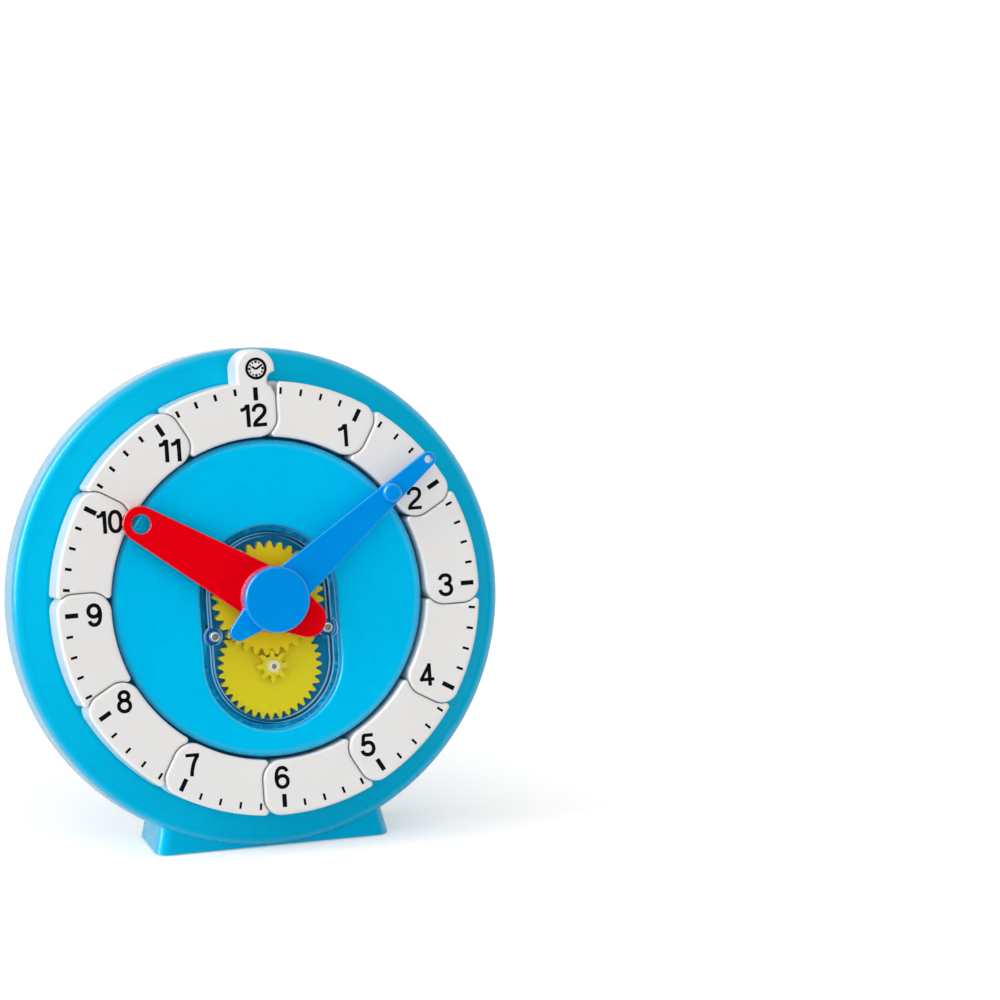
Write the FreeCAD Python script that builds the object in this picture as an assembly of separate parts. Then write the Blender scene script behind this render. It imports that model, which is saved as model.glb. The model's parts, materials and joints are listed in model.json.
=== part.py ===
import FreeCAD, Part
import math
import os

# Geared teaching clock with a hinged number line round its face. Lengths are in millimetres.
# Everything is drawn in the dial's frame first: x to the right and y to the 12, as the viewer sees
# them, and z towards the viewer, with z = 0 at the back of the case. The last step leans the clock
# back on its foot: then +Z is up, the face looks to -Y, and the origin is the middle of the sole.

V = FreeCAD.Vector

# Gears
gear_centre_distance = 27.6
pressure_angle = 25.0
minute_pinion_teeth = 12
reduction_wheel_teeth = 36
reduction_pinion_teeth = 8
hour_gear_teeth = 32
hour_gear_below_links = 3.9
hour_gear_thickness = 3.5
wheel_below_links = 8.7
wheel_thickness = 3.5
large_addendum_share = 0.87
small_addendum_share = 0.85
hour_addendum_share = 0.75
tooth_bottom_clear = 0.35
tooth_thinning = 0.16
tooth_crest = 0.3
wheel_phase_angle = 2.5
gear_face_clear = 0.5
minute_pinion_overhang = 0.6
gate_mark_radius = 2.6
gate_mark_depth = 0.25
gate_mark_width = 0.5
gate_mark_drop = 18.5

# Window, sized by the hour gear at its top and the reduction gear at its bottom
hour_gear_share = hour_gear_teeth / (hour_gear_teeth + reduction_pinion_teeth)
window_side_room = 6.42
window_half_width = gear_centre_distance * hour_gear_share + window_side_room
window_top_centre_y = 1.1
window_bottom_rise = 2.6
window_bottom_centre_y = window_bottom_rise - gear_centre_distance
window_edge_round = 1.4
window_lip_depth = 4.6
window_lip_wall = 2.0
window_ledge_width = 2.2
window_ledge_thickness = 1.3
cover_clear = 0.3
cover_flange_thickness = 1.5
cover_panel_thickness = 1.4
cover_panel_inset = 3.0
cover_panel_below_disc = 0.3
cover_step_round = 0.6
cover_pad_radius = 4.4
cover_pad_rise = 0.3
cover_boss_radius = 3.5
cover_axle_boss_radius = 3.4
cover_axle_boss_rise = 0.5
screw_inset = 5.0
screw_spread = window_half_width - screw_inset
screw_y = -13.7

# Face disc
disc_below_window = 10.7
disc_radius = window_half_width - window_bottom_centre_y + disc_below_window
disc_below_links = 1.7
disc_wall = 2.2
disc_edge_round = 4.0
disc_boss_radius = 3.5
disc_boss_inset = 13.6
disc_boss_ring = disc_radius - disc_boss_inset
disc_boss_first_angle = 45.0
disc_boss_count = 4

# Number line
link_disc_gap = 1.1
link_width = 22.5
link_inner_radius = disc_radius + link_disc_gap
link_outer_radius = link_inner_radius + link_width
link_thickness = 16.0
link_wall = 1.8
link_count = 12
lobe_end_length = 8.1
lobe_outer_round = 7.0
lobe_inner_round = 8.0
link_side_gap = 0.35
lap_gap = 0.3
link_edge_round = 1.3
link_corner_round = 1.4
start_outer_length = 6.1
start_inner_length = 2.3
first_link_outer_length = 9.6
first_link_notch_depth = 7.8
hinge_inset = 7.2
hinge_radius = link_outer_radius - hinge_inset
hinge_back_from_lobe_end = 14.0
hinge_pin_radius = 2.4
hinge_clear = 0.06
hinge_travel_angle = 31.0
tongue_thickness = 6.0
tongue_lean_angle = 18.0
knuckle_wall = 1.7
knuckle_radius = hinge_pin_radius + hinge_clear + knuckle_wall
clasp_flare = 1.0
tab_radius = 8.0
tab_centre_rise = 5.0
tab_centre_x = 0.4
tab_neck_right = 5.1
tab_neck_depth = 2.2
tab_hook_radius = 3.6
tab_wall = 3.6

# Case
lean_angle = 12.0
link_over_rim = 1.4
rim_width = 15.2
rim_inner_radius = link_outer_radius - link_over_rim
case_radius = rim_inner_radius + rim_width
case_side_depth = 13.1
case_wall = 2.4
rim_rise = 8.2
rim_round_width = 4.6
rim_round_rise = 5.4
rim_lip_width = 2.2
flange_width = 7.4
flange_thickness = 2.4
rear_cover_thickness = 2.4

# Foot
foot_half_width = 49.0
foot_depth = 34.0
foot_height = 45.0
foot_rear_rise = 6.0
foot_flare_angle = 12.2
foot_corner_radius = 5.5
foot_front_inset = 2.0
foot_below_case = 0.3
foot_front_drop = case_radius + foot_below_case

# Base plate
plate_above_rim = 0.2
plate_thickness = 2.2
plate_clear = 0.3
floor_side_gap = 0.5
floor_half_width = window_half_width - window_ledge_width - floor_side_gap
floor_rise = 2.3
bearing_wall = 2.4
post_radius = 3.4

# Shafts and running fits
arbor_radius = 3.0
run_clear = 0.06
press_clear = 0.02
hour_tube_radius = 5.2
axle_radius = 1.5
axle_head_radius = 3.0
axle_head_height = 1.0
arbor_groove_depth = 0.6
clip_thickness = 0.8
clip_radius = 5.6
clip_gap = 0.15
clip_slot_half_width = 1.8
arbor_tail = 1.6

# Hands
hour_hand_angle = 303.4
hour_hand_lift = 2.8
hour_hand_thickness = 2.2
hour_hub_radius = 11.9
hour_tip_radius = 7.2
hour_tip_inset = 2.8
hour_tip_centre = link_inner_radius - hour_tip_inset
hour_tail_radius = 7.5
hour_tail_centre = 16.8
hour_hole_radius = 3.9
hour_hole_back = 0.3
hour_hole_centre = hour_tip_centre - hour_hole_back
hour_boss_radius = 13.7
hour_boss_height = 0.9
hour_collar_radius = 8.4
hour_collar_gap = 0.6
hand_gap = 0.35
minute_hand_angle = 52.7
minute_hand_thickness = 2.7
minute_hub_radius = 9.0
minute_tip_radius = 3.1
minute_tip_inset = 2.9
minute_tip_centre = link_outer_radius - minute_tip_inset
minute_tail_radius = 3.6
minute_tail_centre = 19.9
minute_hole_radius = 1.5
nub_radius = 4.0
nub_back = 20.4
nub_centre = minute_tip_centre - nub_back
nub_height = 2.6
nub_round = 1.8
hand_edge_round = 0.6
cap_radius = 13.4
cap_height = 4.0
cap_round = 1.2
cap_bore_depth = 2.4

# Screws
screw_radius = 1.4
screw_clear = 0.1
head_side_clear = 0.3
screw_head_radius = 1.9
screw_head_height = 1.2
screw_recess_radius = 1.1
screw_recess_depth = 0.7
flat_head_radius = 2.8
flat_head_height = 1.3
screw_bite = 7.0
plate_screw_bite = 2.3
plate_boss_depth = 3.5
plate_screw_count = 6
plate_screw_first_angle = 15.0
cover_screw_count = 5
cover_screw_first_angle = 0.0
cover_screw_inset = 11.0
cover_screw_ring = case_radius - cover_screw_inset
cover_boss_wall = 2.6
plate_boss_wall = 1.3

# Shared
overrun = 1.0
box_reach = 320.0
arc_points = 4
flat_tolerance = 1e-4
diagonal_share = math.sqrt(0.5)
full_turn = 360.0
half_turn = 180.0

# Heights of the layers, from the back of the case forwards
rim_inner_z = case_side_depth + rim_rise
plate_front_z = rim_inner_z + plate_above_rim
plate_back_z = plate_front_z - plate_thickness
link_back_z = plate_front_z + lap_gap
link_front_z = link_back_z + link_thickness
link_mid_z = link_back_z + link_thickness / 2
floor_z = plate_front_z + floor_rise
disc_front_z = link_front_z - disc_below_links
cover_front_z = disc_front_z - cover_panel_below_disc
cover_panel_z = cover_front_z - cover_panel_thickness
lip_z = disc_front_z - window_lip_depth
cover_pad_z = cover_front_z + cover_pad_rise
hour_gear_z = link_front_z - hour_gear_below_links
hour_gear_back_z = hour_gear_z - hour_gear_thickness
wheel_z = link_front_z - wheel_below_links
wheel_back_z = wheel_z - wheel_thickness
hour_hand_z = link_front_z + hour_hand_lift
hour_hand_front_z = hour_hand_z + hour_hand_thickness
hour_boss_z = hour_hand_front_z + hour_boss_height
minute_hand_z = hour_boss_z + hand_gap
minute_hand_front_z = minute_hand_z + minute_hand_thickness
cap_front_z = minute_hand_front_z + cap_height
minute_pinion_back_z = wheel_back_z - minute_pinion_overhang
minute_pinion_front_z = wheel_z + minute_pinion_overhang
bearing_front_z = minute_pinion_back_z - gear_face_clear
axle_boss_front_z = wheel_back_z - gear_face_clear
flange_back_z = plate_back_z - flange_thickness

# Angles round the dial, in degrees clockwise from 12
link_angle = full_turn / link_count
hinge_offset = hinge_back_from_lobe_end - lobe_end_length
hinge_lag_angle = math.degrees(math.asin(hinge_offset / hinge_radius))


def at_angle(radius, angle, z=0):
    """Point of the dial at an angle clockwise from 12."""
    a = math.radians(angle)
    return V(radius * math.sin(a), radius * math.cos(a), z)


def disc(radius, z0, z1, at=V(0, 0, 0)):
    return Part.makeCylinder(radius, z1 - z0, V(at.x, at.y, z0))


def cone(radius0, radius1, z0, z1, at=V(0, 0, 0)):
    return Part.makeCone(radius0, radius1, z1 - z0, V(at.x, at.y, z0))


def turned(shape, angle):
    """Copy of a shape, turned clockwise about the dial's axis."""
    out = shape.copy()
    out.rotate(V(0, 0, 0), V(0, 0, 1), -angle)
    return out


def moved(shape, x, y, z=0):
    out = shape.copy()
    out.translate(V(x, y, z))
    return out


def fuse(first, *others):
    out = first
    for other in others:
        out = out.fuse(other)
    return out.removeSplitter()


def lines(points):
    return [Part.makeLine(a, b) for a, b in zip(points, points[1:])]


def arc(start, middle, end):
    return Part.Arc(start, middle, end).toShape()


def on_arc(centre, radius, start, end):
    """Middle point of the shorter arc between two directions from a centre."""
    way = (start - centre).normalize() + (end - centre).normalize()
    return centre + way.normalize() * radius


def extruded(edges, z0, z1, holes=()):
    """Solid over a closed outline drawn at z = 0, with round holes of (radius, centre)."""
    outer = Part.Wire(Part.__sortEdges__(edges))
    solid = Part.Face(outer).extrude(V(0, 0, z1 - z0))
    solid.translate(V(0, 0, z0))
    for radius, centre in holes:
        solid = solid.cut(disc(radius, z0 - overrun, z1 + overrun, centre))
    return solid


def revolved(points, rounds=()):
    """Solid of revolution from (radius, z) corners. rounds are (index, radius, z) middle points of
    arcs that replace the line after a corner."""
    places = [V(r, 0, z) for r, z in points]
    places.append(places[0])
    middles = {index: V(r, 0, z) for index, r, z in rounds}
    edges = []
    for i, (a, b) in enumerate(zip(places, places[1:])):
        edges.append(arc(a, middles[i], b) if i in middles else Part.makeLine(a, b))
    return Part.Face(Part.Wire(edges)).revolve(V(0, 0, 0), V(0, 0, 1), 360)


def rounded(shape, radius, wanted):
    """Fillets the edges that the test picks."""
    edges = [edge for edge in shape.Edges if wanted(edge)]
    return shape.makeFillet(radius, edges) if edges else shape


def is_flat_at(edge, z):
    box = edge.BoundBox
    return abs(box.ZMin - z) < flat_tolerance and abs(box.ZMax - z) < flat_tolerance


def stadium(half_width, z0, z1):
    """Upright slab with round ends, on the window's two centres."""
    top = window_top_centre_y
    bottom = window_bottom_centre_y
    w = half_width
    edges = lines([V(w, bottom, 0), V(w, top, 0)])
    edges.append(arc(V(w, top, 0), V(0, top + w, 0), V(-w, top, 0)))
    edges += lines([V(-w, top, 0), V(-w, bottom, 0)])
    edges.append(arc(V(-w, bottom, 0), V(0, bottom - w, 0), V(w, bottom, 0)))
    return extruded(edges, z0, z1)


def tapered_bar(centre0, radius0, centre1, radius1, z0, z1):
    """Slab round two circles of the y axis and the straight lines that touch both."""
    run = centre1 - centre0
    lean = math.asin((radius0 - radius1) / abs(run))
    way = 1 if run > 0 else -1

    def touch(centre, radius, side):
        return V(side * radius * math.cos(lean), centre + way * radius * math.sin(lean), 0)

    edges = lines([touch(centre0, radius0, 1), touch(centre1, radius1, 1)])
    edges.append(arc(touch(centre1, radius1, 1), V(0, centre1 + way * radius1, 0),
                     touch(centre1, radius1, -1)))
    edges += lines([touch(centre1, radius1, -1), touch(centre0, radius0, -1)])
    edges.append(arc(touch(centre0, radius0, -1), V(0, centre0 - way * radius0, 0),
                     touch(centre0, radius0, 1)))
    return extruded(edges, z0, z1)


def flat_head_screw(length, front_z):
    """Screw with a flat head level with front_z, its shank towards -z."""
    shank = disc(screw_radius, front_z - length, front_z - flat_head_height / 2)
    head = cone(screw_radius, flat_head_radius, front_z - flat_head_height, front_z)
    recess = disc(screw_recess_radius, front_z - screw_recess_depth, front_z + overrun)
    return fuse(shank, head).cut(recess)


def flat_head_hole(length, front_z):
    """Room for such a screw."""
    radius = screw_radius + screw_clear
    shank = disc(radius, front_z - length, front_z)
    head = cone(radius, flat_head_radius + screw_clear, front_z - flat_head_height - screw_clear,
                front_z)
    return shank.fuse(head)


def pan_head_screw(length, seat_z):
    """Screw whose round head stands on seat_z, its shank towards -z."""
    shank = disc(screw_radius, seat_z - length, seat_z)
    head = disc(screw_head_radius, seat_z, seat_z + screw_head_height)
    head = rounded(head, screw_head_height / 3, lambda e: is_flat_at(e, seat_z + screw_head_height))
    recess = disc(screw_recess_radius, seat_z + screw_head_height - screw_recess_depth,
                  seat_z + screw_head_height + overrun)
    return fuse(shank, head).cut(recess)


# Case and foot


def dial_placement():
    """Leans the dial back about x and sets the sole on the floor, its middle at the origin."""
    sin_lean = math.sin(math.radians(lean_angle))
    cos_lean = math.cos(math.radians(lean_angle))
    front_z = case_side_depth + foot_front_inset
    drop = sin_lean * front_z - cos_lean * foot_front_drop
    back = -cos_lean * front_z - sin_lean * foot_front_drop
    turn = FreeCAD.Rotation(V(1, 0, 0), 90 - lean_angle)
    return FreeCAD.Placement(V(0, -back - foot_depth / 2, -drop), turn)


PLACED = dial_placement()


def in_dial_frame(shape):
    out = shape.copy()
    out.transformShape(PLACED.inverse().toMatrix())
    return out


def foot_block(inset, cut_level):
    """The foot's outline, drawn standing on the floor and brought into the dial's frame. inset
    draws the room inside its walls."""
    tan_lean = math.tan(math.radians(lean_angle))
    behind = PLACED.multVec(V(0, 0, 0))
    back_y = behind.y + (foot_height - behind.z) * tan_lean
    front = -foot_depth / 2 + inset
    rear = foot_depth / 2 - inset
    profile = [V(0, front + cut_level * tan_lean, cut_level), V(0, rear, cut_level),
               V(0, rear, foot_height), V(0, front + foot_height * tan_lean, foot_height)]
    profile.append(profile[0])
    half = foot_half_width - inset
    block = Part.Face(Part.makePolygon(profile)).extrude(V(2 * half, 0, 0))
    block.translate(V(-half, 0, 0))
    for side in (1, -1):
        wedge = Part.makeBox(foot_half_width, 2 * foot_depth, 2 * foot_height,
                             V(0, -foot_depth, -foot_height / 2))
        wedge.rotate(V(0, 0, 0), V(0, 1, 0), -foot_flare_angle)
        wedge.translate(V(half, 0, 0))
        if side < 0:
            wedge = wedge.mirror(V(0, 0, 0), V(1, 0, 0))
        block = block.cut(wedge)
    block = rounded(block, foot_corner_radius - inset,
                    lambda e: e.BoundBox.ZLength > foot_height / 2)
    slope = [V(-half, rear, foot_rear_rise), V(-half, back_y - inset, foot_height),
             V(-half, rear, foot_height), V(-half, rear, foot_rear_rise)]
    block = block.cut(Part.Face(Part.makePolygon(slope)).extrude(V(2 * half, 0, 0)))
    return in_dial_frame(block)


def above_floor(level=0):
    """Everything higher than a level over the floor."""
    box = Part.makeBox(box_reach, box_reach, box_reach, V(-box_reach / 2, -box_reach / 2, level))
    return in_dial_frame(box)


def cover_screw_places():
    step = full_turn / cover_screw_count
    return [at_angle(cover_screw_ring, cover_screw_first_angle + step * i)
            for i in range(cover_screw_count)]


def plate_screw_places():
    step = full_turn / plate_screw_count
    ring = rim_inner_radius - flange_width / 2
    return [at_angle(ring, plate_screw_first_angle + step * i) for i in range(plate_screw_count)]


def front_housing():
    round_r = case_radius - rim_round_width
    round_z = case_side_depth + rim_round_rise
    inner_r = case_radius - case_wall
    middle_r = round_r + rim_round_width * diagonal_share
    middle_z = case_side_depth + rim_round_rise * diagonal_share
    flange_r = rim_inner_radius - flange_width
    points = [(case_radius, 0), (case_radius, case_side_depth), (round_r, round_z),
              (rim_inner_radius + rim_lip_width, rim_inner_z), (rim_inner_radius, rim_inner_z),
              (rim_inner_radius, plate_back_z), (flange_r, plate_back_z), (flange_r, flange_back_z),
              (rim_inner_radius, flange_back_z), (round_r - case_wall / 2, round_z - case_wall),
              (inner_r, case_side_depth), (inner_r, 0)]
    shell = revolved(points, [(1, middle_r, middle_z)])
    hollow = fuse(disc(inner_r, -case_radius, case_side_depth),
                  disc(flange_r, 0, rim_inner_z + overrun),
                  cone(inner_r, round_r - case_wall / 2, case_side_depth, round_z - case_wall))
    foot = foot_block(0, 0).cut(foot_block(case_wall, case_wall))
    foot = foot.cut(hollow)
    room = revolved([(0, 0), (round_r, 0), (round_r, rim_inner_z), (0, rim_inner_z)])
    foot = foot.cut(room)
    behind = Part.makeBox(box_reach, box_reach, box_reach,
                          V(-box_reach / 2, -box_reach / 2, -box_reach))
    foot = foot.cut(behind)
    sole = foot_block(0, 0).cut(above_floor(case_wall)).cut(behind)
    housing = fuse(shell, foot, sole).common(above_floor())
    boss_radius = screw_radius + cover_boss_wall
    for place in cover_screw_places():
        top = flange_back_z + flange_thickness / 2
        housing = housing.fuse(disc(boss_radius, rear_cover_thickness, top, place))
    for place in plate_screw_places():
        boss = disc(screw_radius + plate_boss_wall, flange_back_z - plate_boss_depth,
                    plate_back_z, place)
        housing = housing.fuse(boss)
    for place in cover_screw_places():
        hole = disc(screw_radius + screw_clear, 0, rear_cover_thickness + screw_bite, place)
        housing = housing.cut(hole)
    for place in plate_screw_places():
        hole = disc(screw_radius + screw_clear, flange_back_z - screw_bite, plate_front_z, place)
        housing = housing.cut(hole)
    return housing.removeSplitter()


def rear_cover():
    radius = case_radius - case_wall - plate_clear
    back = disc(radius, 0, rear_cover_thickness)
    back = back.common(above_floor(case_wall + plate_clear))
    in_front = Part.makeBox(box_reach, box_reach, box_reach, V(-box_reach / 2, -box_reach / 2, 0))
    wedge = foot_block(0, 0).cut(in_front)
    room = foot_block(case_wall, case_wall)
    cover = fuse(back, wedge).cut(room)
    cover = cover.removeSplitter()
    flip = FreeCAD.Placement(V(0, 0, 0), FreeCAD.Rotation(V(0, 1, 0), 180))
    for place in cover_screw_places():
        hole = flat_head_hole(rear_cover_thickness + overrun, 0)
        hole.Placement = flip
        cover = cover.cut(moved(hole, place.x, place.y))
    return cover


def cover_screws():
    flip = FreeCAD.Placement(V(0, 0, 0), FreeCAD.Rotation(V(0, 1, 0), 180))
    screw = flat_head_screw(rear_cover_thickness + screw_bite - overrun, 0)
    screw.Placement = flip
    return Part.makeCompound([moved(screw, p.x, p.y) for p in cover_screw_places()])


def disc_boss_places():
    step = full_turn / disc_boss_count
    return [at_angle(disc_boss_ring, disc_boss_first_angle + step * i)
            for i in range(disc_boss_count)]


def base_plate():
    plate = disc(rim_inner_radius - plate_clear, plate_back_z, plate_front_z)
    floor = stadium(floor_half_width, plate_front_z - plate_thickness / 2, floor_z)
    parts = [floor]
    parts.append(disc(arbor_radius + run_clear + bearing_wall, flange_back_z, bearing_front_z))
    below = V(0, -gear_centre_distance, 0)
    parts.append(disc(axle_radius + bearing_wall, plate_back_z, axle_boss_front_z, below))
    for side in (1, -1):
        place = V(side * screw_spread, screw_y, 0)
        parts.append(disc(post_radius, plate_back_z, lip_z - plate_clear, place))
    plate = fuse(plate, *parts)
    plate = plate.cut(disc(arbor_radius + run_clear, flange_back_z - overrun, cap_front_z))
    plate = plate.cut(disc(axle_radius + press_clear, 0, cap_front_z, below))
    for side in (1, -1):
        place = V(side * screw_spread, screw_y, 0)
        plate = plate.cut(disc(screw_radius + screw_clear, lip_z - screw_bite, lip_z, place))
    for place in plate_screw_places():
        hole = flat_head_hole(plate_thickness + overrun, plate_front_z)
        plate = plate.cut(moved(hole, place.x, place.y))
    for place in disc_boss_places():
        plate = plate.cut(disc(screw_radius + screw_clear, 0, plate_front_z + overrun, place))
    return plate


def plate_screws():
    screw = flat_head_screw(plate_thickness + flange_thickness + plate_screw_bite, plate_front_z)
    return Part.makeCompound([moved(screw, p.x, p.y) for p in plate_screw_places()])


def disc_screws():
    flip = FreeCAD.Placement(V(0, 0, 0), FreeCAD.Rotation(V(0, 1, 0), 180))
    screw = pan_head_screw(plate_thickness + screw_bite, -plate_back_z)
    screw.Placement = flip
    return Part.makeCompound([moved(screw, p.x, p.y) for p in disc_boss_places()])


def face_disc():
    cup = disc(disc_radius, plate_front_z, disc_front_z)
    cup = rounded(cup, disc_edge_round, lambda e: is_flat_at(e, disc_front_z))
    inside = disc(disc_radius - disc_wall, plate_front_z - overrun, disc_front_z - disc_wall)
    cup = cup.cut(inside)
    lip = stadium(window_half_width + window_lip_wall, lip_z - window_ledge_thickness,
                  disc_front_z - disc_wall / 2)
    cup = cup.fuse(lip)
    cup = cup.cut(stadium(window_half_width, lip_z, disc_front_z + overrun))
    ledge = window_half_width - window_ledge_width
    cup = cup.cut(stadium(ledge, plate_front_z, lip_z + overrun))
    for place in disc_boss_places():
        cup = cup.fuse(disc(disc_boss_radius, plate_front_z, disc_front_z - disc_wall / 2, place))
        cup = cup.cut(disc(screw_radius + screw_clear, plate_front_z - overrun,
                           plate_front_z + screw_bite + overrun, place))
    for side in (1, -1):
        place = V(side * screw_spread, screw_y, 0)
        reach = cover_boss_radius + cover_clear
        cup = cup.cut(disc(reach, plate_front_z, lip_z + overrun, place))
    cup = cup.removeSplitter()

    def is_window_edge(edge):
        return is_flat_at(edge, disc_front_z) and edge.BoundBox.XLength < 2 * disc_boss_ring

    return rounded(cup, window_edge_round, is_window_edge)


def window_cover():
    flange = stadium(window_half_width - cover_clear, lip_z, lip_z + cover_flange_thickness)
    panel_half = window_half_width - cover_panel_inset
    panel = stadium(panel_half, lip_z, cover_front_z)
    panel = rounded(panel, cover_step_round, lambda e: is_flat_at(e, cover_front_z))
    inside = stadium(panel_half - cover_panel_thickness, lip_z - overrun, cover_panel_z)
    cover = fuse(flange, panel).cut(inside)
    below = V(0, -gear_centre_distance, 0)
    ring = disc(cover_axle_boss_radius, hour_gear_z + gear_face_clear,
                cover_front_z + cover_axle_boss_rise, below)
    cover = cover.fuse(rounded(ring, cover_axle_boss_rise / 2,
                               lambda e: is_flat_at(e, cover_front_z + cover_axle_boss_rise)))
    for side in (1, -1):
        place = V(side * screw_spread, screw_y, 0)
        pad = disc(cover_pad_radius, cover_panel_z, cover_pad_z, place)
        pad = rounded(pad, cover_pad_rise / 2, lambda e: is_flat_at(e, cover_pad_z))
        cover = cover.fuse(pad)
        cover = cover.fuse(disc(cover_boss_radius, lip_z, cover_pad_z - cover_pad_rise, place))
        seat = cover_pad_z - screw_head_height - screw_clear
        cover = cover.cut(disc(screw_head_radius + head_side_clear, seat, cover_front_z + overrun,
                              place))
        cover = cover.cut(disc(screw_radius + screw_clear, lip_z - overrun, cover_front_z, place))
    cover = cover.cut(disc(axle_radius + press_clear, lip_z, cover_front_z + overrun, below))
    cover = cover.cut(disc(hour_tube_radius + plate_clear, lip_z, cover_front_z + overrun))
    return cover.removeSplitter()


def window_screws():
    seat = cover_pad_z - screw_head_height - screw_clear
    screw = pan_head_screw(seat - lip_z + screw_bite - overrun, seat)
    screws = [moved(screw, side * screw_spread, screw_y) for side in (1, -1)]
    return Part.makeCompound(screws)


def reduction_axle():
    """Steel pin, headed behind the base plate, its front end held in the cover's boss."""
    pin = disc(axle_radius, plate_back_z, cover_front_z + cover_axle_boss_rise)
    head = disc(axle_head_radius, plate_back_z - axle_head_height, plate_back_z)
    return moved(fuse(pin, head), 0, -gear_centre_distance)


# Gears


def gear_outline(teeth, pitch_radius, addendum, dedendum, first_tooth_angle):
    """Involute teeth with rounded crests, thinned for toy backlash."""
    slope = math.radians(pressure_angle)
    base = pitch_radius * math.cos(slope)
    tip = pitch_radius + addendum
    root = pitch_radius - dedendum
    start = max(base, root)
    shoulder = tip - tooth_crest
    half_tooth = math.pi / (2 * teeth) - tooth_thinning / (2 * pitch_radius)
    involute = math.tan(slope) - slope

    def half_angle(radius):
        bend = math.acos(min(1.0, base / radius))
        return half_tooth + involute - (math.tan(bend) - bend)

    radii = [start + (shoulder - start) * i / arc_points for i in range(arc_points + 1)]
    pitch = full_turn / teeth
    edges = []
    for i in range(teeth):
        middle = first_tooth_angle + pitch * i

        def flank(side):
            return [at_angle(r, middle + side * math.degrees(half_angle(r))) for r in radii]

        rising = flank(-1)
        falling = flank(1)[::-1]
        foot_angle = math.degrees(half_angle(start))
        root_in = at_angle(root, middle - foot_angle)
        root_out = at_angle(root, middle + foot_angle)
        if root < base:
            edges.append(Part.makeLine(root_in, rising[0]))
        else:
            root_in = rising[0]
            root_out = falling[-1]
        for points in (rising, falling):
            spline = Part.BSplineCurve()
            spline.interpolate(points)
            edges.append(spline.toShape())
        edges.append(arc(rising[-1], at_angle(tip, middle), falling[0]))
        if root < base:
            edges.append(Part.makeLine(falling[-1], root_out))
        next_in = at_angle(root_in.Length, middle + pitch - foot_angle)
        edges.append(arc(root_out, at_angle(root, middle + pitch / 2), next_in))
    return edges


def module_of(teeth_a, teeth_b):
    return 2 * gear_centre_distance / (teeth_a + teeth_b)


minute_module = module_of(minute_pinion_teeth, reduction_wheel_teeth)
hour_module = module_of(reduction_pinion_teeth, hour_gear_teeth)


def toothed(teeth, module, own_share, mate_share, first_tooth_angle, z0, z1):
    edges = gear_outline(teeth, module * teeth / 2, module * own_share,
                         module * mate_share + tooth_bottom_clear, first_tooth_angle)
    return extruded(edges, z0, z1)


def minute_pinion():
    pitch = full_turn / minute_pinion_teeth
    meeting = half_turn - wheel_phase_angle * reduction_wheel_teeth / minute_pinion_teeth
    gear = toothed(minute_pinion_teeth, minute_module, small_addendum_share, large_addendum_share,
                   meeting + pitch / 2, minute_pinion_back_z, minute_pinion_front_z)
    return gear.cut(disc(arbor_radius + press_clear, 0, cap_front_z))


def reduction_gear():
    wheel = toothed(reduction_wheel_teeth, minute_module, large_addendum_share,
                    small_addendum_share, wheel_phase_angle, wheel_back_z, wheel_z)
    mark = disc(gate_mark_radius, wheel_z - gate_mark_depth, wheel_z + overrun,
                V(0, -gate_mark_drop, 0))
    mark = mark.cut(disc(gate_mark_radius - gate_mark_width, 0, cap_front_z,
                         V(0, -gate_mark_drop, 0)))
    wheel = wheel.cut(mark)
    small = toothed(reduction_pinion_teeth, hour_module, small_addendum_share,
                    hour_addendum_share, 0, wheel_z - gate_mark_depth, hour_gear_z)
    gear = fuse(wheel, small).cut(disc(axle_radius + run_clear, 0, cap_front_z))
    return moved(gear, 0, -gear_centre_distance)


def hour_gear():
    pitch = full_turn / hour_gear_teeth
    gear = toothed(hour_gear_teeth, hour_module, hour_addendum_share, small_addendum_share,
                   half_turn + pitch / 2, hour_gear_back_z, hour_gear_z)
    tube = disc(hour_tube_radius, hour_gear_back_z, hour_boss_z)
    return fuse(gear, tube).cut(disc(arbor_radius + run_clear, 0, cap_front_z))


# Hands and shaft


def clip_z():
    return flange_back_z - clip_gap - clip_thickness


def minute_arbor():
    arbor = disc(arbor_radius, clip_z() - arbor_tail, minute_hand_front_z + cap_bore_depth - hand_gap)
    groove = disc(arbor_radius + overrun, clip_z(), clip_z() + clip_thickness)
    groove = groove.cut(disc(arbor_radius - arbor_groove_depth, 0, cap_front_z))
    return arbor.cut(groove)


def arbor_clip():
    ring = disc(clip_radius, clip_z(), clip_z() + clip_thickness)
    ring = ring.cut(disc(arbor_radius - arbor_groove_depth, 0, cap_front_z))
    slot = Part.makeBox(2 * clip_slot_half_width, clip_radius + overrun, case_radius,
                        V(-clip_slot_half_width, 0, 0))
    return ring.cut(slot)


def hour_hand():
    blade = tapered_bar(0, hour_hub_radius, hour_tip_centre, hour_tip_radius,
                        hour_hand_z, hour_hand_front_z)
    tail = tapered_bar(0, hour_hub_radius, -hour_tail_centre, hour_tail_radius,
                       hour_hand_z, hour_hand_front_z)
    hand = fuse(blade, tail)
    hand = hand.cut(disc(hour_hole_radius, 0, cap_front_z, V(0, hour_hole_centre, 0)))
    hand = rounded(hand, hand_edge_round, lambda e: is_flat_at(e, hour_hand_front_z))
    boss = disc(hour_boss_radius, hour_hand_z, hour_boss_z)
    boss = rounded(boss, hour_boss_height / 2, lambda e: is_flat_at(e, hour_boss_z))
    collar = disc(hour_collar_radius, cover_pad_z + hour_collar_gap, hour_hand_z)
    hand = fuse(hand, boss, collar).cut(disc(hour_tube_radius + press_clear, 0, cap_front_z))
    return turned(hand, hour_hand_angle)


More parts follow.
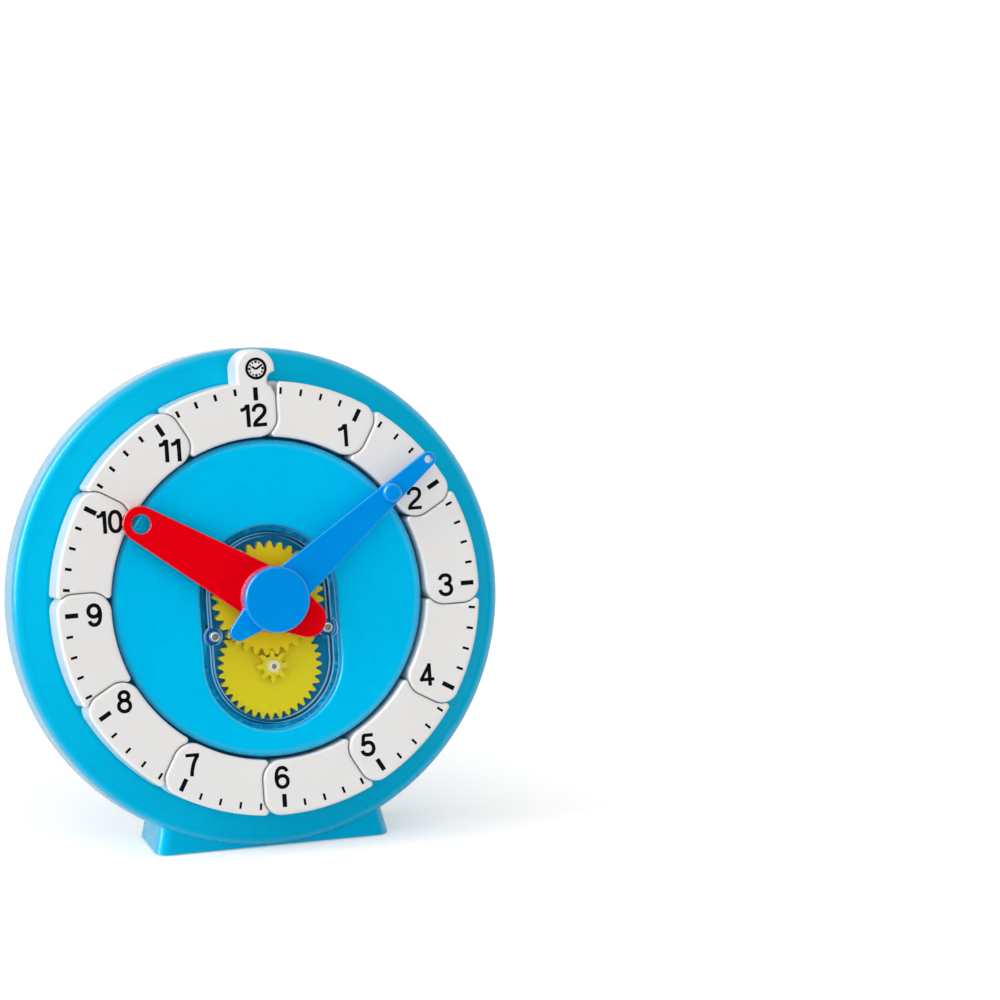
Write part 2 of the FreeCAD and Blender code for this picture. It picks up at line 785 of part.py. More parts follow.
def minute_hand():
    blade = tapered_bar(0, minute_hub_radius, minute_tip_centre, minute_tip_radius,
                        minute_hand_z, minute_hand_front_z)
    tail = tapered_bar(0, minute_hub_radius, -minute_tail_centre, minute_tail_radius,
                       minute_hand_z, minute_hand_front_z)
    hand = fuse(blade, tail)
    hand = hand.cut(disc(minute_hole_radius, 0, cap_front_z, V(0, minute_tip_centre, 0)))
    hand = rounded(hand, hand_edge_round, lambda e: is_flat_at(e, minute_hand_front_z))
    nub = disc(nub_radius, minute_hand_z, minute_hand_front_z + nub_height)
    nub = rounded(nub, nub_round, lambda e: is_flat_at(e, minute_hand_front_z + nub_height))
    hand = fuse(hand, moved(nub, 0, nub_centre))
    seat = disc(cap_radius, minute_hand_z, minute_hand_front_z)
    hand = fuse(hand, seat).cut(disc(arbor_radius + press_clear, 0, cap_front_z))
    return turned(hand, minute_hand_angle)


def hub_cap():
    cap = disc(cap_radius, minute_hand_front_z, cap_front_z)
    cap = rounded(cap, cap_round, lambda e: is_flat_at(e, cap_front_z))
    return cap.cut(disc(arbor_radius + press_clear, 0, minute_hand_front_z + cap_bore_depth))


# Number line


def lobe_edges(inset, outward):
    """Lobe end of a link whose hour stands at 12, from the inner circle to the outer one. inset
    moves the contour into the link, outward moves it to the neighbour's side."""
    end_x = lobe_end_length - inset + outward
    outer_round = lobe_outer_round - inset + outward
    inner_round = lobe_inner_round - inset + outward
    centre_x = lobe_end_length - lobe_outer_round
    outer_y = math.sqrt((link_outer_radius - lobe_outer_round) ** 2 - centre_x ** 2)
    inner_x = lobe_end_length - lobe_inner_round
    inner_y = math.sqrt((link_inner_radius + lobe_inner_round) ** 2 - inner_x ** 2)
    outer_centre = V(centre_x, outer_y, 0)
    inner_centre = V(inner_x, inner_y, 0)
    outer_meet = outer_centre + outer_centre * (outer_round / outer_centre.Length)
    inner_meet = inner_centre - inner_centre * (inner_round / inner_centre.Length)

    low = V(end_x, inner_y, 0)
    high = V(end_x, outer_y, 0)
    edges = [arc(inner_meet, on_arc(inner_centre, inner_round, inner_meet, low), low),
             Part.makeLine(low, high),
             arc(high, on_arc(outer_centre, outer_round, high, outer_meet), outer_meet)]
    return edges, inner_meet, outer_meet


def lobe_side(outward):
    """Face over all that lies on the link's side of its lobe end, grown outward, with room to
    spare past both circles."""
    edges, inner_meet, outer_meet = lobe_edges(0, outward)
    far = -link_outer_radius / 2
    low = V(inner_meet.x, inner_meet.y - link_side_gap, 0)
    high = V(outer_meet.x, outer_meet.y + overrun, 0)
    loop = [outer_meet, high, V(far, high.y, 0), V(far, low.y - overrun, 0),
            V(low.x, low.y - overrun, 0), inner_meet]
    return Part.Face(Part.Wire(Part.__sortEdges__(edges + lines(loop))))


def first_link_notch(inset):
    """Plan of the notch beside the tab, where the first link's front stands back."""
    top = link_outer_radius + overrun
    notch_y = link_outer_radius - first_link_notch_depth
    notch = [V(0, notch_y, 0), V(lobe_end_length + link_side_gap + inset, notch_y, 0),
             V(first_link_outer_length + inset, top, 0), V(0, top, 0)]
    notch = Part.Face(Part.makePolygon(notch + notch[:1]))
    notch.rotate(V(0, 0, 0), V(0, 0, 1), link_angle)
    return notch


def half_plan(inset, first):
    """Plan of a link's front half, its hour at 12: from the trimmed start to the lobe end, with
    every outward corner rounded. The first link's start stands back beside the tab."""
    edges, inner_meet, outer_meet = lobe_edges(inset, 0)
    outer_r = link_outer_radius - inset
    inner_r = link_inner_radius + inset
    outer_start_angle = math.degrees((start_outer_length + inset) / link_outer_radius)
    inner_start_angle = math.degrees((start_inner_length + inset) / link_inner_radius)
    outer_start_angle -= link_angle
    inner_start_angle -= link_angle
    outer_start = at_angle(outer_r, outer_start_angle)
    inner_start = at_angle(inner_r, inner_start_angle)
    edges.append(arc(inner_start, at_angle(inner_r, inner_start_angle / 2), inner_meet))
    edges.append(arc(outer_meet, at_angle(outer_r, outer_start_angle / 2), outer_start))
    edges.append(Part.makeLine(outer_start, inner_start))
    plan = Part.Face(Part.Wire(Part.__sortEdges__(edges)))
    neighbour = lobe_side(link_side_gap + inset)
    neighbour.rotate(V(0, 0, 0), V(0, 0, 1), link_angle)
    plan = plan.cut(neighbour)
    if first:
        plan = plan.cut(first_link_notch(inset))
    plan = plan.Faces[0]
    if inset == 0:
        plan = plan.makeOffset2D(-link_corner_round).Faces[0].makeOffset2D(link_corner_round)
    return plan.Faces[0]


def slab(plan, z0, z1):
    out = plan.extrude(V(0, 0, z1 - z0))
    out.translate(V(0, 0, z0))
    return out


def rear_half(front):
    """Mirror image of a front half, behind the middle of the link."""
    return front.mirror(V(0, 0, link_mid_z), V(0, 0, 1))


def tab_centre():
    return V(tab_centre_x, link_outer_radius + tab_centre_rise, 0)


def tab_plan():
    """The tab's outline, from its round head down into the lobe, with its hook notch on the
    right."""
    centre = tab_centre()
    hook = V(tab_neck_right + tab_hook_radius, link_outer_radius, 0)
    away = hook - centre
    along = (tab_radius ** 2 - tab_hook_radius ** 2 + away.Length ** 2) / (2 * away.Length)
    beside = math.sqrt(tab_radius ** 2 - along ** 2)
    away.normalize()
    ear = centre + away * along + V(-away.y, away.x, 0) * beside
    root_y = link_outer_radius - lobe_outer_round
    left = centre - V(tab_radius, 0, 0)
    neck = V(tab_neck_right, link_outer_radius, 0)
    edges = [arc(left, centre + V(0, tab_radius, 0), ear),
             arc(ear, on_arc(hook, tab_hook_radius, ear, neck), neck)]
    edges += lines([neck, neck - V(0, tab_neck_depth, 0), V(tab_neck_right, root_y, 0),
                    V(left.x, root_y, 0), left])
    return Part.Face(Part.Wire(Part.__sortEdges__(edges)))


def hinge_place():
    return at_angle(hinge_radius, -hinge_lag_angle)


def flank(lean, side, gap=0):
    """Point where a straight flank leaves the knuckle, and the flank's point past the lobe end.
    lean turns the flank towards the dial's centre, side is 1 for the outer flank."""
    slope = math.radians(lean)
    start = hinge_place() + V(math.sin(slope), math.cos(slope), 0) * (side * (knuckle_radius + gap))
    far_x = lobe_end_length + link_side_gap + link_wall
    return start, V(far_x, start.y - (far_x - start.x) * math.tan(slope), 0)


def knuckle_and_neck(outer_lean, gap, z0, z1):
    """Knuckle round the hinge with a neck towards the next link, as they lie in a link whose hour
    is at 12, grown by a gap."""
    outer = flank(outer_lean, 1, gap)
    inner = flank(tongue_lean_angle, -1, gap)
    neck = [outer[0], outer[1], inner[1], inner[0], hinge_place(), outer[0]]
    neck = slab(Part.Face(Part.makePolygon(neck)), z0, z1)
    return fuse(disc(knuckle_radius + gap, z0, z1, hinge_place()), neck)


def tongue(open_end):
    """Front half of a link's own tongue, with its bore. Its neck leans inwards, so that the outer
    wall stays clear when the hinge opens. An open end lets the last link's pin slide out."""
    tip_z = link_mid_z + tongue_thickness / 2
    out = knuckle_and_neck(hinge_travel_angle, 0, link_mid_z, tip_z)
    bore = hinge_pin_radius + hinge_clear
    place = hinge_place()
    out = out.cut(disc(bore, link_mid_z - overrun, tip_z + overrun, place))
    if open_end:
        reach = -knuckle_radius - overrun
        mouth = [V(0, bore, 0), V(reach, bore + clasp_flare, 0),
                 V(reach, -bore - clasp_flare, 0), V(0, -bore, 0), V(0, bore, 0)]
        slot = slab(Part.Face(Part.makePolygon(mouth)), link_mid_z - overrun, tip_z + overrun)
        out = out.cut(moved(slot, place.x, place.y))
    out.rotate(V(0, 0, 0), V(0, 0, 1), link_angle)
    return out


def half_shell(front=True, first=False, last=False):
    """Front half of a link, its hour at 12: a tray that is open to the other half, with half of
    the hinge pin under its lobe and half of the tongue at its start. The first link's rear half
    keeps the floor of the notch beside the tab."""
    z_mid = link_mid_z
    z_front = link_front_z
    notched = first and front
    own = slab(half_plan(0, notched), z_mid, z_front)
    room = slab(half_plan(link_wall, notched), z_mid - overrun, z_front - link_wall)
    if last:
        own = fuse(own, slab(tab_plan(), z_mid, z_front))
        room = room.fuse(disc(tab_radius - tab_wall, z_mid - overrun, z_front - link_wall,
                              tab_centre()))
    own = rounded(own, link_edge_round, lambda e: is_flat_at(e, z_front))
    own = own.cut(room)
    shoulder_z = z_mid + tongue_thickness / 2 + lap_gap
    own = own.cut(knuckle_and_neck(0, lap_gap, z_mid - overrun, shoulder_z))
    inside_z = z_front - link_wall / 2
    own = own.fuse(disc(knuckle_radius, shoulder_z, inside_z, hinge_place()))
    own = own.fuse(disc(hinge_pin_radius, z_mid, inside_z, hinge_place()))
    if first and not front:
        notch_floor = first_link_notch(0).common(half_plan(0, False))
        own = own.fuse(slab(notch_floor, z_mid, z_mid + link_wall))
    return own.fuse(tongue(first)).removeSplitter()


def number_line():
    """Front and rear halves of all links. Link n carries the hour n."""
    nodes = {}
    plain = half_shell()
    for number in range(1, link_count + 1):
        first = number == 1
        last = number == link_count
        front = plain
        rear = plain
        if first or last:
            front = half_shell(True, first, last)
            rear = half_shell(False, first, last)
        angle = link_angle * number
        nodes["link_%02d_front" % number] = turned(front, angle)
        nodes["link_%02d_rear" % number] = turned(rear_half(rear), angle)
    return nodes


def export(name, shape):
    out = shape.copy()
    out.transformShape(PLACED.toMatrix())
    solids = out.Solids
    if not solids or not all(solid.isValid() for solid in solids):
        print("not valid:", name)
    out = solids[0] if len(solids) == 1 else Part.makeCompound(solids)
    out.exportStep("parts/%s.step" % name)
    volume = sum(solid.Volume for solid in solids)
    print("%-18s solids %d faces %4d volume %9.1f" % (name, len(solids), len(out.Faces), volume))


def main():
    os.makedirs("parts", exist_ok=True)
    nodes = {
        "front_housing": front_housing(),
        "rear_cover": rear_cover(),
        "cover_screws": cover_screws(),
        "base_plate": base_plate(),
        "plate_screws": plate_screws(),
        "face_disc": face_disc(),
        "disc_screws": disc_screws(),
        "window_cover": window_cover(),
        "window_screws": window_screws(),
        "reduction_axle": reduction_axle(),
        "reduction_gear": reduction_gear(),
        "minute_arbor": minute_arbor(),
        "arbor_clip": arbor_clip(),
        "minute_pinion": minute_pinion(),
        "minute_hand": minute_hand(),
        "hub_cap": hub_cap(),
        "hour_gear": hour_gear(),
        "hour_hand": hour_hand(),
    }
    nodes.update(number_line())
    for name, shape in nodes.items():
        export(name, shape)
    axis = PLACED.Rotation.multVec(V(0, 0, 1))
    print("dial axis", [round(v, 6) for v in axis])
    print("centre", [round(v, 4) for v in PLACED.multVec(V(0, 0, link_front_z))])
    for number in range(1, link_count + 1):
        pin = at_angle(hinge_radius, link_angle * number - hinge_lag_angle, link_mid_z)
        print("hinge %02d" % number, [round(v, 4) for v in PLACED.multVec(pin)])
    below = PLACED.multVec(V(0, -gear_centre_distance, wheel_z))
    print("reduction", [round(v, 4) for v in below])


main()
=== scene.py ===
# %% [markdown]
# # A geared teaching clock with a number line
# The frame brings in every solid of the clock, already in its place. This lesson gives each one
# a plastic or a metal, prints the minutes and the hours on the links of the number line, and
# sets up the floor, the light and the camera.

import json
import math

import bmesh
import bpy
from mathutils import Matrix, Vector


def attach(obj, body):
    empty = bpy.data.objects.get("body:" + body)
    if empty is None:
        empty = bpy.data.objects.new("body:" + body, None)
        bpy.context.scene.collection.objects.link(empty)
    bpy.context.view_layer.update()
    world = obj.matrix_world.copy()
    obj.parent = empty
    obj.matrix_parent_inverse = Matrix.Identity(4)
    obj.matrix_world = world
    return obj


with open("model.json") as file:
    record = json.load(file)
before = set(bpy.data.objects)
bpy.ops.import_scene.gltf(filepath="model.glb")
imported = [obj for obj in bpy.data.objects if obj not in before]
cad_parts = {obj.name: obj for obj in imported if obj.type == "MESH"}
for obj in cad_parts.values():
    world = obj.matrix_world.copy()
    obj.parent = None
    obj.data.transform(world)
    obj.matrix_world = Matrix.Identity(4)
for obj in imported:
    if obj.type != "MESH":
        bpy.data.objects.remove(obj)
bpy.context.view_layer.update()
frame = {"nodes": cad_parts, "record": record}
nodes = frame["nodes"]
print("nodes in the frame:", len(nodes))

# %% [markdown]
# ## The dial's own frame
# Prints and patterns are placed on the dial, in millimetres: x to the right and y to the 12, as
# the viewer sees them, and z towards the viewer. The dial leans back, so one function takes
# such a place into the model. The screws in the window stand at both sides, at the same height.

# %% The dial's frame
MM = 0.001
LEAN = math.radians(12.0)
DIAL_SHIFT = Vector((0.0, 18.956, 96.534))
RIGHT = Vector((1.0, 0.0, 0.0))
UP = Vector((0.0, math.sin(LEAN), math.cos(LEAN)))
OUT = Vector((0.0, -math.cos(LEAN), math.sin(LEAN)))
LINK_FRONT = 37.8
SCREW_PLACE = (23.5, -13.7)
AXLE_PLACE = (0.0, -27.6)


def turn_to_model(vector):
    return RIGHT * vector[0] + UP * vector[1] + OUT * vector[2]


def on_dial(x, y, z=LINK_FRONT):
    return (turn_to_model((x, y, z)) + DIAL_SHIFT) * MM


def polar(radius, degrees):
    """A place on the dial, its angle counted as a clock counts."""
    a = math.radians(degrees)
    return Vector((radius * math.sin(a), radius * math.cos(a)))


print("middle of the dial:", [round(c, 4) for c in on_dial(0.0, 0.0)])

# %% [markdown]
# ## Shader maths
# A material is a small tree of nodes. Two classes keep it short. A Value wraps the output of a
# node and takes Python's own plus, minus and times. A Shader adds the nodes of one material:
# its settings come first, then the values of its sockets.

# %% Values that can be added and multiplied


class Value:
    def __init__(self, shader, socket):
        self.shader = shader
        self.socket = socket

    def maths(self, operation, *others):
        values = dict(enumerate((self, *others)))
        return self.shader.node("ShaderNodeMath", values, operation=operation)

    def __add__(self, other):
        return self.maths("ADD", other)

    def __mul__(self, other):
        return self.maths("MULTIPLY", other)

    def __sub__(self, other):
        return self.maths("SUBTRACT", other)


# %% A shader and its nodes
class Shader:
    def __init__(self, owner, output="ShaderNodeOutputMaterial"):
        owner.use_nodes = True
        self.owner = owner
        self.tree = owner.node_tree
        self.tree.nodes.clear()
        self.output = self.tree.nodes.new(output)

    def node(self, kind, values=None, out=0, **settings):
        """Adds a node. Values go to its sockets, as numbers or as links from other nodes."""
        made = self.tree.nodes.new(kind)
        for key, setting in settings.items():
            setattr(made, key, setting)
        for key, value in (values or {}).items():
            if isinstance(value, Value):
                self.tree.links.new(value.socket, made.inputs[key])
            else:
                made.inputs[key].default_value = value
        return Value(self, made.outputs[out])

    def noise(self, scale, detail=2.0):
        """Soft random patches. A higher scale makes them smaller."""
        place = self.node("ShaderNodeTexCoord", out="Object")
        values = {"Vector": place, "Scale": scale, "Detail": detail}
        return self.node("ShaderNodeTexNoise", values)

    def between(self, value, low, high, out_low=0.0, out_high=1.0):
        """Maps the span from low to high onto another span, and stops at its ends."""
        values = {0: value, 1: low, 2: high, 3: out_low, 4: out_high}
        return self.node("ShaderNodeMapRange", values, clamp=True)

    def mixed(self, share, first, second):
        return self.node("ShaderNodeMix", {0: share, 6: first, 7: second}, 2, data_type="RGBA")

    def bump(self, height, depth):
        return self.node("ShaderNodeBump", {"Height": height, "Distance": depth})

    def from_axis(self, x, y, both_sides=False):
        """Millimetres from an axis that stands on the dial at x, y."""
        place = self.node("ShaderNodeTexCoord", out="Object")
        across, depth, height = (self.node("ShaderNodeSeparateXYZ", {0: place}, axis)
                                 for axis in "XYZ")
        across = across * (1 / MM)
        if both_sides:
            across = across.maths("ABSOLUTE")
        across = across - x
        upward = depth * (UP.y / MM) + height * (UP.z / MM) - (UP.dot(DIAL_SHIFT) + y)
        return (across * across + upward * upward).maths("SQRT")

    def finish(self, surface):
        self.tree.links.new(surface.socket, self.output.inputs["Surface"])
        print("made", self.owner.name)
        return self.owner


# %% [markdown]
# ## Colours
# Blender counts light in a linear way, but colours are easier to read as they are seen on a
# screen, from 0 to 255. One function turns the second kind into the first.

# %% Colours
WHITE = (1.0, 1.0, 1.0, 1.0)
BLACK = (0.0, 0.0, 0.0, 1.0)
SCREEN = 255.0
DARK_END = 0.04045
DARK_SLOPE = 12.92
CURVE_SHIFT = 0.055
CURVE_POWER = 2.4


def linear(*screen):
    def one(c):
        c /= SCREEN
        if c <= DARK_END:
            return c / DARK_SLOPE
        return ((c + CURVE_SHIFT) / (1 + CURVE_SHIFT)) ** CURVE_POWER
    return (*(one(c) for c in screen), 1.0)


print("middle grey:", [round(c, 3) for c in linear(128, 128, 128)])

# %% [markdown]
# ## Moulded plastics
# Injection moulded plastic is one colour with slow clouds in it, a fine grain from the mould and
# a gloss that varies a little from handling. Seen straight on, its reflections have its own
# colour, which keeps deep colours deep. On slopes and edges a white sheen comes in: a coat
# whose weight follows a Layer Weight node. Round the window's screws, the base plate is painted
# a darker blue: painted shade, for the shade that falls under the screw pads.

# %% Moulded plastic
CLOUD_SCALE = 28.0
CLOUD_SPAN = (0.35, 0.65)
WEAR_SCALE = 160.0
MIDDLE_SPAN = (0.3, 0.7)
GRAIN_SCALE = 2600.0
GRAIN_DEPTH = 0.0000015
GLOSS_SPREAD = 0.14
SHEEN_STARTS = 0.05
SHEEN_RISE = 0.15
SHEEN_ROUGHNESS = 0.2
POST_SHADE_EDGE = (4.2, 4.5)


def moulded(name, colour, shade, gloss=0.3, sheen_starts=SHEEN_STARTS, painted_post_shade=None):
    s = Shader(bpy.data.materials.new(name))
    facing = s.node("ShaderNodeLayerWeight", {"Blend": 0.5}, "Facing")
    clouds = s.noise(CLOUD_SCALE, detail=3.0)
    wear = s.noise(WEAR_SCALE, detail=4.0)
    grain = s.noise(GRAIN_SCALE)
    mix = s.mixed(s.between(clouds, *CLOUD_SPAN), colour, shade)
    # Painted shade: round each window screw the base plate gets a darker blue, for the shade
    # under the screw pads.
    if painted_post_shade:
        from_screw = s.from_axis(*SCREW_PLACE, both_sides=True)
        mix = s.mixed(s.between(from_screw, *POST_SHADE_EDGE, 1.0, 0.0), mix, painted_post_shade)
    glossy, worn = gloss - GLOSS_SPREAD / 2, gloss + GLOSS_SPREAD / 2
    return s.finish(s.node("ShaderNodeBsdfPrincipled", {
        "Base Color": mix,
        "Roughness": s.between(wear, *MIDDLE_SPAN, glossy, worn),
        "Specular Tint": colour,
        "Coat Weight": s.between(facing, sheen_starts, sheen_starts + SHEEN_RISE),
        "Coat Roughness": SHEEN_ROUGHNESS,
        "Normal": s.bump(grain + wear, GRAIN_DEPTH),
    }))


# %% The clock's colours
# The case and the face disc are one cyan plastic. The case's copy is painted a little darker:
# painted shade, which evens out the light that its sloping rim catches.
case_plastic = moulded("cyan_plastic", linear(3, 171, 212), linear(2, 167, 209),
                       sheen_starts=0.16)
face_plastic = moulded("face_cyan_plastic", linear(0, 187, 236), linear(0, 183, 233))
# Its last colour is painted shade round the window's screws.
floor_plastic = moulded("deep_blue_plastic", linear(12, 160, 222), linear(10, 154, 216),
                        painted_post_shade=linear(6, 96, 160))
link_plastic = moulded("white_plastic", linear(228, 227, 226), linear(225, 224, 223), gloss=0.42)
minute_plastic = moulded("blue_plastic", linear(0, 141, 224), linear(0, 137, 220), gloss=0.22)
hour_plastic = moulded("red_plastic", linear(229, 0, 18), linear(224, 0, 16), gloss=0.22)
# The lower wheel is the same yellow plastic as the gear, painted a little greener: painted shade,
# for the blue-tinted shade deep in the window.
wheel_plastic_blue_shaded = moulded("yellow_plastic_blue_shaded", linear(238, 219, 34), linear(233, 212, 28), gloss=0.35)
gear_plastic = moulded("yellow_plastic", linear(249, 219, 24), linear(244, 211, 19), gloss=0.35)

# %% [markdown]
# ## Clear plastic
# The window cover is thin and clear. It lets the light straight through, so the gears behind it
# stay lit. Where its steps, lips and rings are seen edge on, a Layer Weight node paints the
# plastic
# pale: a painted highlight. These pale edges also give off light, a painted glow, though the
# cover is no lamp. Round the hole that holds the lower axle, a pale ring is painted the same way.

# %% Clear plastic
WINDOW_CLEAR = (0.99, 0.997, 1.0, 1.0)
WINDOW_EDGE_HIGHLIGHT = linear(160, 210, 250)
WINDOW_EDGE_HIGHLIGHT_PALE = linear(180, 222, 255)
SMUDGE_SCALE = 70.0
EDGE_ROUGHNESS = (0.08, 0.2)
EDGE_SPECULAR = 0.15
EDGE_PAINTED_GLOW = 0.24
EDGE_HIGHLIGHT_SPAN = (0.45, 0.8)
EDGE_HIGHLIGHT_SHARES = (0.004, 0.9)
GLOSS_ROUGHNESS = (0.08, 0.16)
GLOSS_SPAN = (0.1, 0.3)
GLOSS_SHARES = (0.0, 0.04)
RING_INSIDE = (1.4, 1.6)
RING_OUTSIDE = (2.6, 2.4)
RING_HIGHLIGHT = linear(226, 214, 160)
RING_HIGHLIGHT_SHARE = 0.5


def clear(name):
    s = Shader(bpy.data.materials.new(name))
    smudge = s.noise(SMUDGE_SCALE, detail=4.0)
    facing = s.node("ShaderNodeLayerWeight", {"Blend": 0.5}, "Facing")
    through = s.node("ShaderNodeBsdfTransparent", {"Color": WINDOW_CLEAR})
    from_axle = s.from_axis(*AXLE_PLACE)
    # Painted highlight: a pale ring round the hole of the lower axle.
    ring = s.between(from_axle, *RING_INSIDE) * s.between(from_axle, *RING_OUTSIDE)
    colour = s.mixed(ring, s.mixed(smudge, WINDOW_EDGE_HIGHLIGHT, WINDOW_EDGE_HIGHLIGHT_PALE), RING_HIGHLIGHT)
    # A pale shader that also gives off light: a painted highlight with a painted glow.
    edge = s.node("ShaderNodeBsdfPrincipled", {
        "Base Color": colour,
        "Roughness": s.between(smudge, *MIDDLE_SPAN, *EDGE_ROUGHNESS),
        "Specular IOR Level": EDGE_SPECULAR,
        "Emission Color": colour,
        "Emission Strength": EDGE_PAINTED_GLOW,
    })
    shine = s.node("ShaderNodeBsdfGlossy", {
        "Color": WHITE, "Roughness": s.between(smudge, *MIDDLE_SPAN, *GLOSS_ROUGHNESS)})
    # This painted highlight is mixed in where a surface is seen edge on, and on the ring.
    share = s.between(facing, *EDGE_HIGHLIGHT_SPAN, *EDGE_HIGHLIGHT_SHARES).maths("MAXIMUM", ring * RING_HIGHLIGHT_SHARE)
    body = s.node("ShaderNodeMixShader", {0: share, 1: through, 2: edge})
    gloss = s.between(facing, *GLOSS_SPAN, *GLOSS_SHARES)
    return s.finish(s.node("ShaderNodeMixShader", {0: gloss, 1: body, 2: shine}))


window_plastic = clear("clear_plastic")

# %% [markdown]
# ## Steel
# Screws and shafts are plain bright steel with fine turning marks. The screws in the window and
# the end of the lower axle have a recess, whose floor hardly gets any light. A dark disc
# round each axis stands for that.

# %% Steel
STEEL_DARK = (0.50, 0.50, 0.49, 1.0)
STEEL_BRIGHT = (0.82, 0.81, 0.80, 1.0)
STEEL_ROUGHNESS = (0.22, 0.42)
MARK_SCALE = 900.0
MARK_DEPTH = 0.00002
RECESS_SHADE = linear(112, 120, 106)
RECESS_SOFTNESS = 0.15
SCREW_RECESS = 1.4
AXLE_RECESS = 1.1


def steel(name, recess=None, radius=SCREW_RECESS):
    s = Shader(bpy.data.materials.new(name))
    marks = s.noise(MARK_SCALE, detail=5.0)
    colour = s.mixed(marks, STEEL_DARK, STEEL_BRIGHT)
    if recess:
        rim = (radius - RECESS_SOFTNESS, radius + RECESS_SOFTNESS)
        # Painted shade: a dark disc round the axis, for the recess floor that hardly gets any
        # light.
        colour = s.mixed(s.between(s.from_axis(*recess), *rim, 1.0, 0.0), colour, RECESS_SHADE)
    return s.finish(s.node("ShaderNodeBsdfPrincipled", {
        "Base Color": colour,
        "Metallic": 1.0,
        "Roughness": s.between(marks, *MIDDLE_SPAN, *STEEL_ROUGHNESS),
        "Normal": s.bump(marks, MARK_DEPTH),
    }))


plain_steel = steel("screw_steel")
window_screw_steel = steel("recessed_screw_steel", (*SCREW_PLACE, True))
axle_steel = steel("axle_steel", AXLE_PLACE, AXLE_RECESS)

# %% [markdown]
# ## Which piece gets what
# The record names a material slot for every node. A few nodes get a copy of their slot's material
# of their own. The face disc is a lighter cyan than the case, whose cyan carries painted shade.
# The
# lower wheel is a greener yellow: painted shade. The window screws and the lower axle carry a
# painted dark disc, painted shade for the floor of their recess.

# %% Dress the nodes
BY_SLOT = {
    "cyan_plastic": case_plastic,
    "deep_blue_plastic": floor_plastic,
    "white_plastic": link_plastic,
    "blue_plastic": minute_plastic,
    "red_plastic": hour_plastic,
    "yellow_plastic": gear_plastic,
    "clear_plastic": window_plastic,
    "screw_steel": plain_steel,
}
BY_NODE = {
    "face_disc": face_plastic,
    "reduction_gear": wheel_plastic_blue_shaded,
    "window_screws": window_screw_steel,
    "reduction_axle": axle_steel,
}

for part in frame["record"]["subparts"]:
    node = part["node"]
    nodes[node].data.materials.clear()
    nodes[node].data.materials.append(BY_NODE.get(node, BY_SLOT[part["material_slot"]]))

# %% [markdown]
# ## Black print
# The minute marks and the numbers are printed on the links. The ink is a flat black, nearly
# without shine.

# %% Ink
INK_DARK = (0.001, 0.001, 0.001, 1.0)
INK_PALE = (0.003, 0.003, 0.004, 1.0)
INK_ROUGHNESS = (0.5, 0.65)
INK_SPECULAR = 0.04
PATCH_SCALE = 420.0
PATCH_DEPTH = 0.000008


def ink(name):
    s = Shader(bpy.data.materials.new(name))
    patch = s.noise(PATCH_SCALE, detail=3.0)
    return s.finish(s.node("ShaderNodeBsdfPrincipled", {
        "Base Color": s.mixed(patch, INK_DARK, INK_PALE),
        "Roughness": s.between(patch, *MIDDLE_SPAN, *INK_ROUGHNESS),
        "Specular IOR Level": INK_SPECULAR,
        "Normal": s.bump(patch, PATCH_DEPTH),
    }))


black_ink = ink("black_ink")

# %% [markdown]
# ## The shapes of the numbers
# Each number is a few strokes in a box one unit high. A stroke is a line of points with a
# width. Straight ones are given by their ends, round ones by the control points of cubic
# curves, which is how a sign writer would draw them.

# %% Strokes
CURVE_STEPS = 10
ELLIPSE_STEPS = 40


def curve(*control):
    """Points along joined cubic curves: a start, then three control points for each curve."""
    points = [Vector(control[0])]
    for i in range(1, len(control), 3):
        a = points[-1]
        b, c, d = (Vector(p) for p in control[i:i + 3])
        for step in range(1, CURVE_STEPS + 1):
            t = step / CURVE_STEPS
            u = 1 - t
            points.append(a * u ** 3 + b * 3 * u * u * t + c * 3 * u * t * t + d * t ** 3)
    return points


def straight(*points):
    return [Vector(p) for p in points]


def ellipse(x, y, rx, ry, squareness=2.0):
    """A closed line round x, y. With more squareness its corners fill out."""
    points = []
    for i in range(ELLIPSE_STEPS + 1):
        a = 2 * math.pi * i / ELLIPSE_STEPS
        c, s = math.cos(a), math.sin(a)
        points.append(Vector((x + rx * math.copysign(abs(c) ** (2 / squareness), c),
                              y + ry * math.copysign(abs(s) ** (2 / squareness), s))))
    return points


print("points in a ring:", len(ellipse(0.0, 0.0, 1.0, 1.0)))

